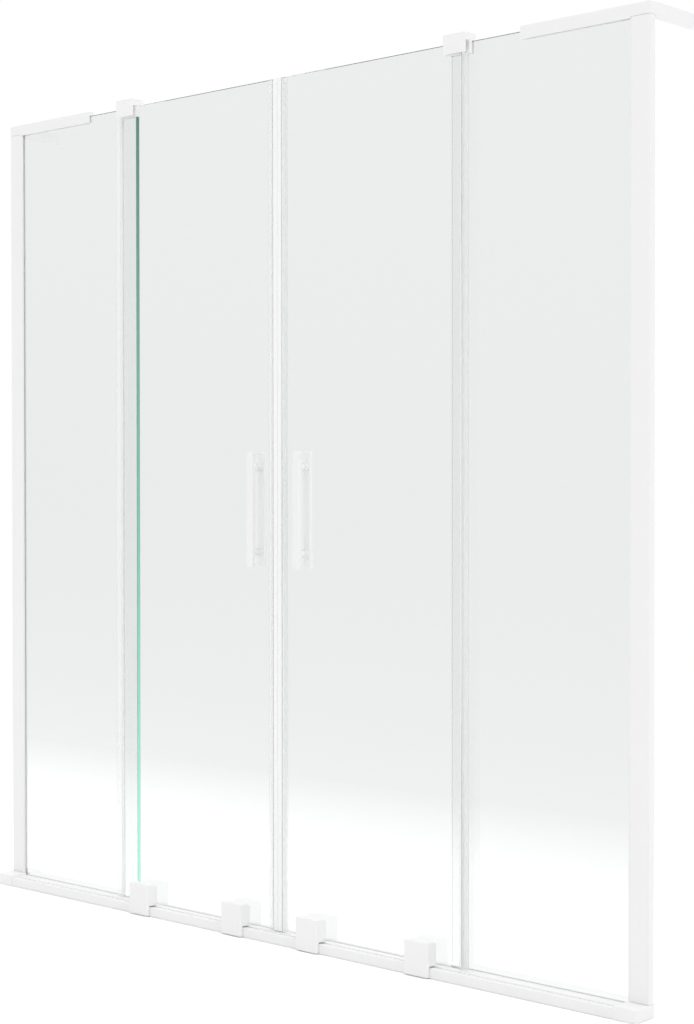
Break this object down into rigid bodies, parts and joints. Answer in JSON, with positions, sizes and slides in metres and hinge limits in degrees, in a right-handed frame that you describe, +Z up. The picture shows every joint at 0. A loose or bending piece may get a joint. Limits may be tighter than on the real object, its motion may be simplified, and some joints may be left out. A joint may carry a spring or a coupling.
{
  "type": "sliding bath screen",
  "caption": "Clear glass bath screen with fixed side panes, sliding doors on rollers along a rim rail, white wall profiles, top brackets and bar handles.",
  "frame": {"origin": "middle of the rail's underside, where the screen rests on the bath's rim", "axes": "+X along the screen to the right seen from the room, +Y from the room into the bath, +Z up"},
  "size_m": [1.5, 0.1608, 1.5045],
  "materials": {
    "white_aluminium": "satin",
    "white_plastic": "satin",
    "white_handle": "satin",
    "clear_glass": "polished",
    "clear_seal": "clear",
    "white_gasket": "matt",
    "magnet_strip": "matt",
    "nylon": "matt",
    "steel": "brushed"
  },
  "bodies": {
    "frame": {"sill_rail": "white_aluminium", "groove_cover": "white_plastic", "rail_cap_screws": "steel", "bracket_grub_screws": "steel", "top_guide_screws": "steel", "left_rail_cap": "white_plastic", "right_rail_cap": "white_plastic", "left_wall_profile": "white_aluminium", "right_wall_profile": "white_aluminium", "left_profile_gasket": "white_gasket", "right_profile_gasket": "white_gasket", "left_fixed_glass": "clear_glass", "right_fixed_glass": "clear_glass", "left_sill_gasket": "white_gasket", "right_sill_gasket": "white_gasket", "left_top_bracket": "white_aluminium", "right_top_bracket": "white_aluminium", "left_bracket_liner": "white_gasket", "right_bracket_liner": "white_gasket", "left_top_guide": "white_plastic", "right_top_guide": "white_plastic", "left_guide_slider": "nylon", "right_guide_slider": "nylon"},
    "left_door": {"left_door_glass": "clear_glass", "left_magnet_profile": "clear_seal", "left_magnet_strip": "magnet_strip", "left_rear_seal": "clear_seal", "left_inner_trolley": "white_plastic", "left_outer_trolley": "white_plastic", "left_roller_axles": "steel", "left_inner_clamp_disc": "white_plastic", "left_outer_clamp_disc": "white_plastic", "left_trolley_screws": "steel", "left_outer_handle_bar": "white_handle", "left_inner_handle_bar": "white_handle", "left_handle_posts": "white_handle", "left_handle_washers": "clear_seal", "left_handle_studs": "steel"},
    "left_inner_wheel": {"left_inner_roller": "nylon"},
    "left_outer_wheel": {"left_outer_roller": "nylon"},
    "right_door": {"right_door_glass": "clear_glass", "right_magnet_profile": "clear_seal", "right_magnet_strip": "magnet_strip", "right_rear_seal": "clear_seal", "right_inner_trolley": "white_plastic", "right_outer_trolley": "white_plastic", "right_roller_axles": "steel", "right_inner_clamp_disc": "white_plastic", "right_outer_clamp_disc": "white_plastic", "right_trolley_screws": "steel", "right_outer_handle_bar": "white_handle", "right_inner_handle_bar": "white_handle", "right_handle_posts": "white_handle", "right_handle_washers": "clear_seal", "right_handle_studs": "steel"},
    "right_inner_wheel": {"right_inner_roller": "nylon"},
    "right_outer_wheel": {"right_outer_roller": "nylon"}
  },
  "joints": [
    {"name": "left_door_slide", "type": "slide", "parent": "frame", "child": "left_door", "axis": [-1, 0, 0], "range_m": [0, 0.285]},
    {"name": "left_inner_wheel_spin", "type": "hinge", "parent": "left_door", "child": "left_inner_wheel", "pos_m": [-0.0906, -0.0125, 0.0248], "axis": [0, -1, 0], "range_deg": [0, 1640]},
    {"name": "left_outer_wheel_spin", "type": "hinge", "parent": "left_door", "child": "left_outer_wheel", "pos_m": [-0.3326, -0.0125, 0.0248], "axis": [0, -1, 0], "range_deg": [0, 1640]},
    {"name": "right_door_slide", "type": "slide", "parent": "frame", "child": "right_door", "axis": [1, 0, 0], "range_m": [0, 0.285]},
    {"name": "right_inner_wheel_spin", "type": "hinge", "parent": "right_door", "child": "right_inner_wheel", "pos_m": [0.0906, -0.0125, 0.0248], "axis": [0, 1, 0], "range_deg": [0, 1640]},
    {"name": "right_outer_wheel_spin", "type": "hinge", "parent": "right_door", "child": "right_outer_wheel", "pos_m": [0.3326, -0.0125, 0.0248], "axis": [0, 1, 0], "range_deg": [0, 1640]}
  ],
  "couplings": [
    {"joint": "left_inner_wheel_spin", "follows": "left_door_slide", "rad_per_m": 100},
    {"joint": "left_outer_wheel_spin", "follows": "left_door_slide", "rad_per_m": 100},
    {"joint": "right_inner_wheel_spin", "follows": "right_door_slide", "rad_per_m": 100},
    {"joint": "right_outer_wheel_spin", "follows": "right_door_slide", "rad_per_m": 100}
  ]
}
